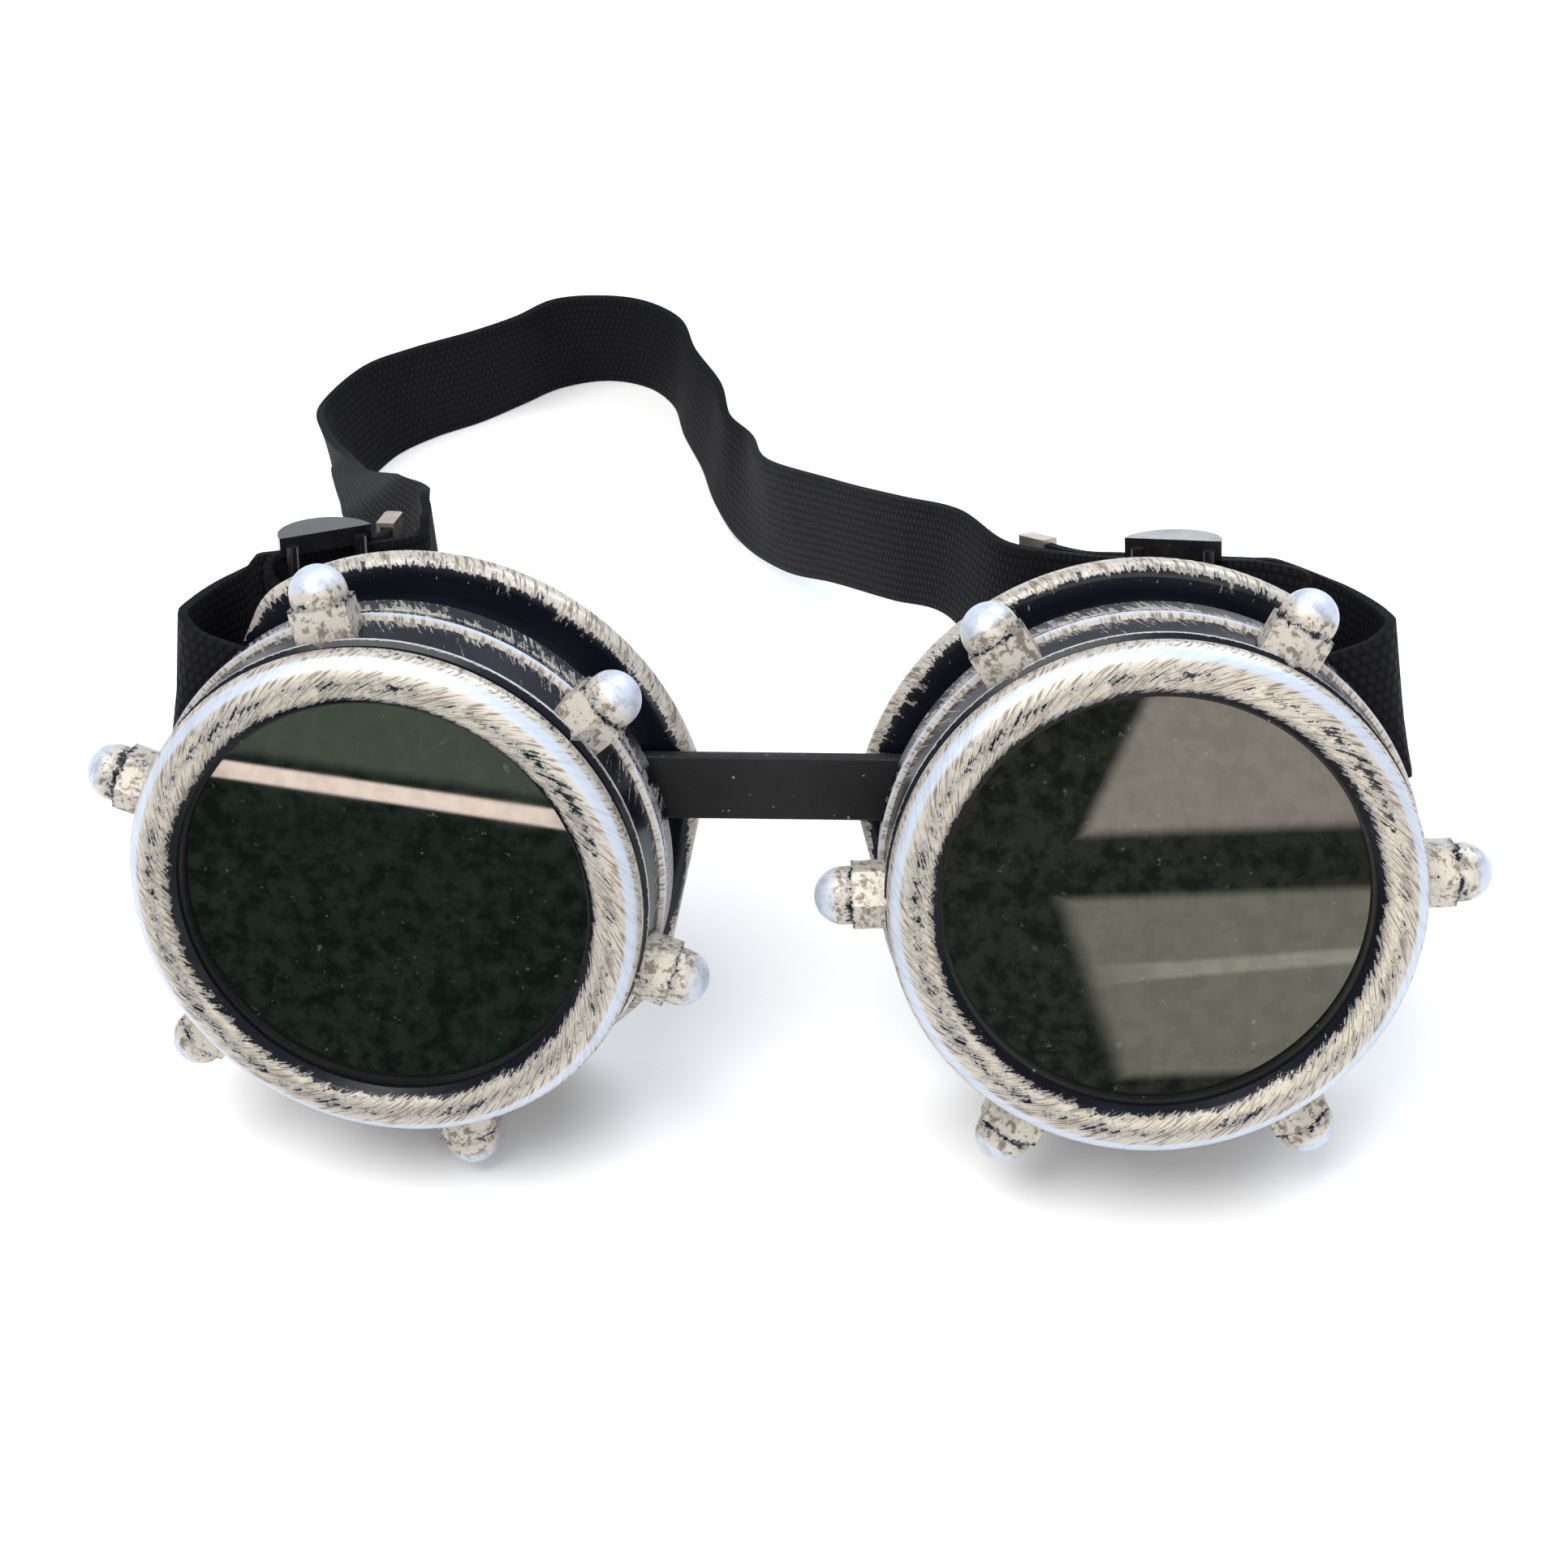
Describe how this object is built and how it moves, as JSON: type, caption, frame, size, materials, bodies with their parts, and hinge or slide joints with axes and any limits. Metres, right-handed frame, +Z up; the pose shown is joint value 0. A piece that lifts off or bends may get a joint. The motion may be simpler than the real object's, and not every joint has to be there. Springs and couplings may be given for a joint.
{
  "type": "welding goggles",
  "caption": "Round-lens welding goggles with knobbed screw-on lens retainers, dry-brushed silver over black, soft bridge strip and black elastic headband",
  "frame": {"origin": "middle of the footprint, on the table", "axes": "+Z up, the lenses face -Y, +X to the right of someone facing the lenses"},
  "size_m": [0.1506, 0.165, 0.0682],
  "materials": {
    "dry_brushed_silver": "dry-brushed silver over black, worn",
    "pad_rubber": "matt",
    "dark_glass": "polished",
    "clear_glass": "polished",
    "elastic_webbing": "woven",
    "black_plastic": "glossy",
    "clip_steel": "dull"
  },
  "bodies": {
    "left_cup": {"left_cup_shell": "dry_brushed_silver", "left_face_pad": "pad_rubber", "left_strap_end": "elastic_webbing", "left_strap_crimp": "clip_steel", "bridge_strip": "pad_rubber", "headband": "elastic_webbing"},
    "right_cup": {"right_cup_shell": "dry_brushed_silver", "right_face_pad": "pad_rubber", "right_strap_end": "elastic_webbing", "right_strap_crimp": "clip_steel"},
    "left_lens_pack": {"left_dark_lens": "dark_glass", "left_clear_lens": "clear_glass", "left_lens_gasket": "pad_rubber"},
    "left_retainer": {"left_knob_collar": "dry_brushed_silver", "left_cap_nuts": "dry_brushed_silver", "left_front_ring": "dry_brushed_silver"},
    "left_slider": {"left_strap_slider": "black_plastic"},
    "right_lens_pack": {"right_dark_lens": "dark_glass", "right_clear_lens": "clear_glass", "right_lens_gasket": "pad_rubber"},
    "right_retainer": {"right_knob_collar": "dry_brushed_silver", "right_cap_nuts": "dry_brushed_silver", "right_front_ring": "dry_brushed_silver"},
    "right_slider": {"right_strap_slider": "black_plastic"}
  },
  "joints": [
    {"name": "bridge_fold", "type": "hinge", "parent": "left_cup", "child": "right_cup", "pos_m": [-0.00059, -0.0532, 0.03853], "axis": [0, 0, 1], "range_deg": [-8, 30], "deforming": ["bridge_strip", "headband"]},
    {"name": "left_lens_travel", "type": "slide", "parent": "left_cup", "child": "left_lens_pack", "axis": [-0.0693, -0.9435, 0.3239], "range_m": [0, 0.00601]},
    {"name": "left_retainer_turn", "type": "hinge", "parent": "left_lens_pack", "child": "left_retainer", "pos_m": [-0.04139, -0.07008, 0.03704], "axis": [-0.0693, -0.9435, 0.3239], "range_deg": [0, 540]},
    {"name": "left_slider_adjust", "type": "slide", "parent": "left_cup", "child": "left_slider", "axis": [-0.8286, -0.5232, 0.1994], "range_m": [-0.0009, 0.0006]},
    {"name": "right_lens_travel", "type": "slide", "parent": "right_cup", "child": "right_lens_pack", "axis": [0.0667, -0.909, 0.4115], "range_m": [0, 0.00601]},
    {"name": "right_retainer_turn", "type": "hinge", "parent": "right_lens_pack", "child": "right_retainer", "pos_m": [0.04021, -0.07008, 0.03789], "axis": [0.0667, -0.909, 0.4115], "range_deg": [0, 540]},
    {"name": "right_slider_adjust", "type": "slide", "parent": "right_cup", "child": "right_slider", "axis": [0.96, -0.2421, 0.1407], "range_m": [-0.0045, 0.0042]}
  ],
  "couplings": [
    {"joint": "left_lens_travel", "follows": "left_retainer_turn", "m_per_rad": 0.00063662},
    {"joint": "right_lens_travel", "follows": "right_retainer_turn", "m_per_rad": 0.00063662}
  ]
}
